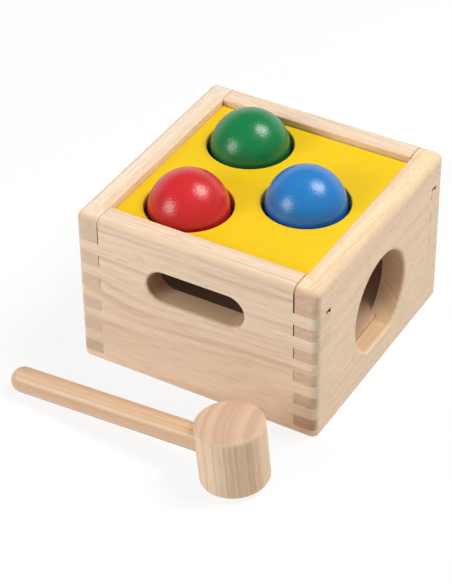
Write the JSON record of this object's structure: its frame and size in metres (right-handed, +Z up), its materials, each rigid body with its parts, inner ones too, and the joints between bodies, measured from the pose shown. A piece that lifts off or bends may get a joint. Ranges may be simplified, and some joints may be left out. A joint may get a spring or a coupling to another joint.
{
  "type": "ball drop box",
  "caption": "Finger-jointed wooden toy box with a recessed yellow top, coloured balls to strike through rubber-gripped holes, a sloping floor with a side outlet, and a mallet.",
  "frame": {"origin": "under the middle of the box, on the surface that it stands on", "axes": "+Z up, +X to the right towards the outlet wall, +Y to the back, the hand slot and the mallet at the front"},
  "size_m": [0.1688, 0.2168, 0.1165],
  "materials": {
    "solid_wood": "sanded pale hardwood with a thin matt oil",
    "plywood": "raw thin plywood",
    "rubber": "natural soft rubber, matt",
    "yellow_paint": "satin water-based paint on board",
    "red_lacquer": "gloss lacquer on a turned ball",
    "green_lacquer": "gloss lacquer on a turned ball",
    "blue_lacquer": "gloss lacquer on a turned ball",
    "mallet_wood": "sanded pale hardwood, turned"
  },
  "bodies": {
    "box": {"front_wall": "solid_wood", "back_wall": "solid_wood", "left_wall": "solid_wood", "right_wall": "solid_wood", "base_board": "plywood", "ramp_board": "plywood", "retainer_board": "plywood", "grip_ring_red": "rubber", "grip_ring_green": "rubber", "grip_ring_blue": "rubber", "top_panel": "yellow_paint"},
    "red_ball": {"ball_red": "red_lacquer"},
    "green_ball": {"ball_green": "green_lacquer"},
    "blue_ball": {"ball_blue": "blue_lacquer"},
    "mallet": {"mallet_head": "mallet_wood", "mallet_handle": "mallet_wood"}
  },
  "joints": [
    {"name": "red_ball_drop", "type": "slide", "parent": "box", "child": "red_ball", "axis": [0, 0, 1], "range_m": [-0.0405, 0.06], "deforming": ["grip_ring_red"]},
    {"name": "green_ball_drop", "type": "slide", "parent": "box", "child": "green_ball", "axis": [0, 0, 1], "range_m": [-0.0405, 0.06], "deforming": ["grip_ring_green"]},
    {"name": "blue_ball_drop", "type": "slide", "parent": "box", "child": "blue_ball", "axis": [0, 0, 1], "range_m": [-0.0462, 0.06], "deforming": ["grip_ring_blue"]},
    {"name": "mallet_lift", "type": "slide", "parent": "box", "child": "mallet", "axis": [0, 0, 1], "range_m": [0, 0.12]}
  ]
}
